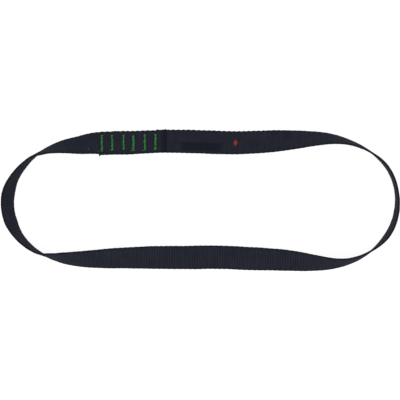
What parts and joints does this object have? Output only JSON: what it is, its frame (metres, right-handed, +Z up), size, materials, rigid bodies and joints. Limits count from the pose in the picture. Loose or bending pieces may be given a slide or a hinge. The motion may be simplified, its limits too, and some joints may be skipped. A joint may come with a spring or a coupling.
{
  "type": "flat web sling",
  "caption": "Endless loop of flat woven webbing, its ends overlapped and sewn together with a row of bartacks, lying flat with its bends standing on edge.",
  "frame": {"origin": "middle of the laid loop's bounding box, on the surface it lies on", "axes": "+X along the loop's long way, with the sewn overlap in the -X half; +Y across the loop, towards the run that holds the sewn overlap; +Z up from the surface"},
  "size_m": [0.4255, 0.1526, 0.0251],
  "materials": {
    "webbing": "woven polyester webbing, near-black navy, fine crosswise ribs",
    "thread": "bright green bonded sewing thread, slight sheen"
  },
  "bodies": {
    "root": {"webbing": "webbing", "bartack_1_needle_thread": "thread", "bartack_1_bobbin_thread": "thread", "bartack_2_needle_thread": "thread", "bartack_2_bobbin_thread": "thread", "bartack_3_needle_thread": "thread", "bartack_3_bobbin_thread": "thread", "bartack_4_needle_thread": "thread", "bartack_4_bobbin_thread": "thread", "bartack_5_needle_thread": "thread", "bartack_5_bobbin_thread": "thread", "bartack_6_needle_thread": "thread", "bartack_6_bobbin_thread": "thread"}
  },
  "joints": []
}
